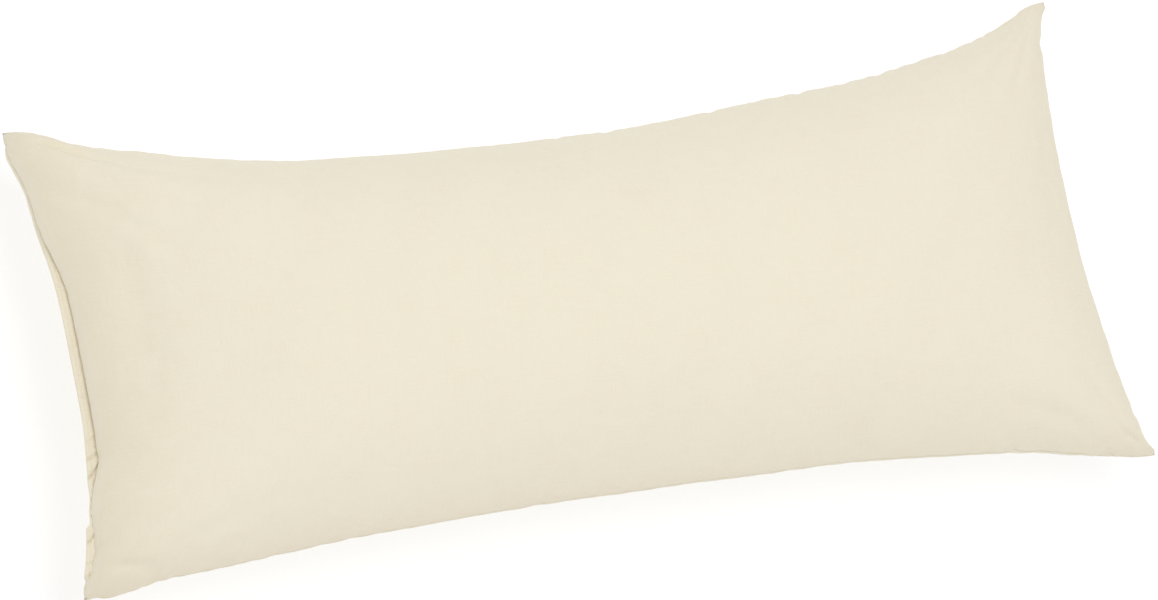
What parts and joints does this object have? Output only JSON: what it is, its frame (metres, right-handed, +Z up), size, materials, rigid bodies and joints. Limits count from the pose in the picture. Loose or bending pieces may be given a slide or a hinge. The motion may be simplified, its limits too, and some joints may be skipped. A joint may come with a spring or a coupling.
{
  "type": "body pillow",
  "caption": "Long filled body pillow of plain cream cloth, crowned, with drawn-in sides, eared corners and a lapped hem at one end.",
  "frame": {"origin": "on the surface that carries the pillow, under the middle of its bounding box", "axes": "+X along the pillow, away from the hemmed end; +Y across it; +Z up, out of the crowned front"},
  "size_m": [1.1904, 0.499, 0.2382],
  "materials": {
    "cover": "soft brushed plain weave, matt"
  },
  "bodies": {
    "root": {"pillow": "cover"}
  },
  "joints": []
}
